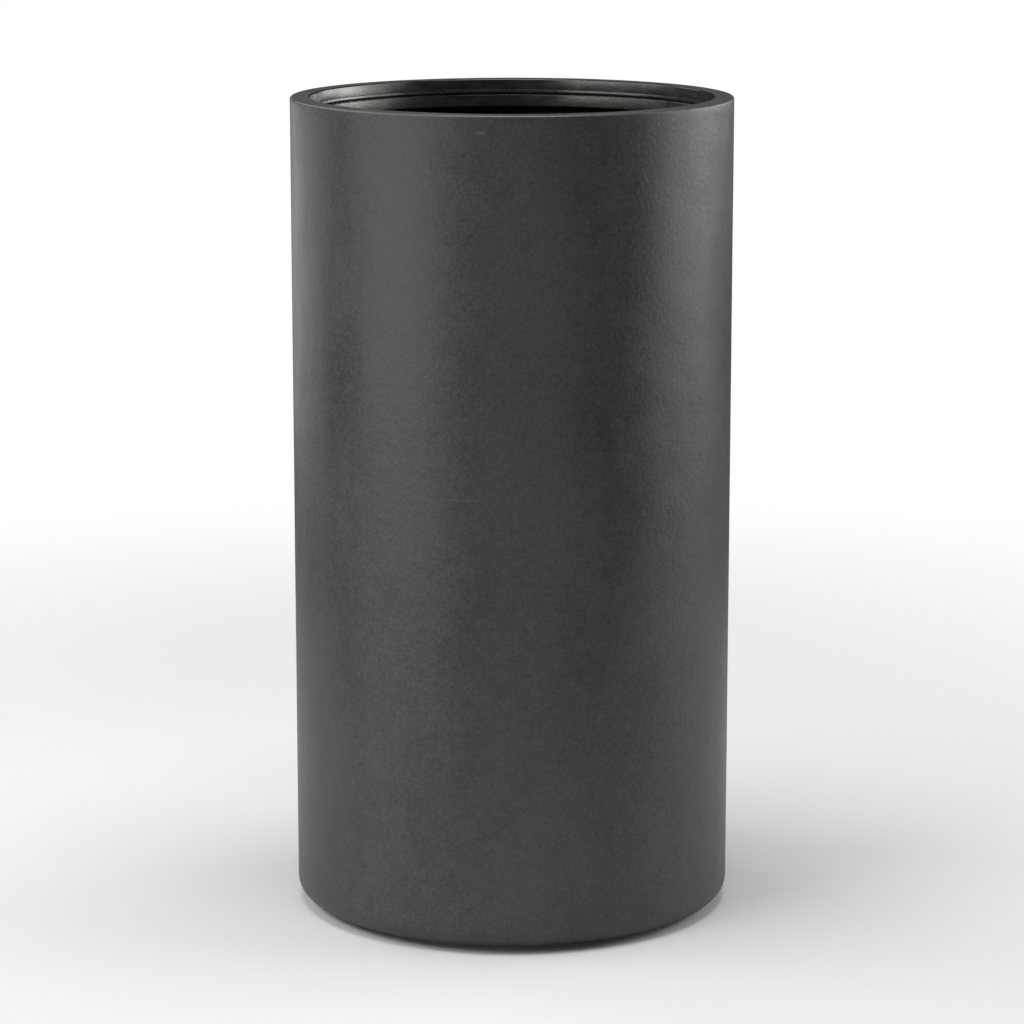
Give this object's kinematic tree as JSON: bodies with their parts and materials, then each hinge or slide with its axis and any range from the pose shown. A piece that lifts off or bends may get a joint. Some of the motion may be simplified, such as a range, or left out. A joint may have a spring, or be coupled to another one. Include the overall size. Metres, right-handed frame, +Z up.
{
  "type": "planter",
  "caption": "Tall round floor planter: moulded shell with a flat rolled rim, stiffening ring under it, raised floor with a plugged drain, and rubber feet.",
  "frame": {"origin": "centre of the footprint, on the surface that the feet stand on", "axes": "+Z up along the planter's axis, -Y towards the front, +X to the right; the plug's tab runs along X"},
  "size_m": [0.33, 0.33, 0.614],
  "materials": {
    "fiberglass": "satin charcoal gel coat with a fine pebbled grain",
    "laminate": "rough laid-up laminate, painted charcoal",
    "plywood": "raw",
    "bush_plastic": "moulded black, fine texture",
    "rubber": "matt black"
  },
  "bodies": {
    "planter": {"outer_shell": "fiberglass", "rim_ring": "fiberglass", "floor_core": "plywood", "floor_skin": "laminate", "drain_bush": "bush_plastic", "foot_front_right": "rubber", "foot_back_right": "rubber", "foot_back_left": "rubber", "foot_front_left": "rubber"},
    "plug": {"drain_plug": "rubber"}
  },
  "joints": [
    {"name": "plug_pull", "type": "slide", "parent": "planter", "child": "plug", "axis": [0, 0, 1], "range_m": [0, 0.62]}
  ]
}
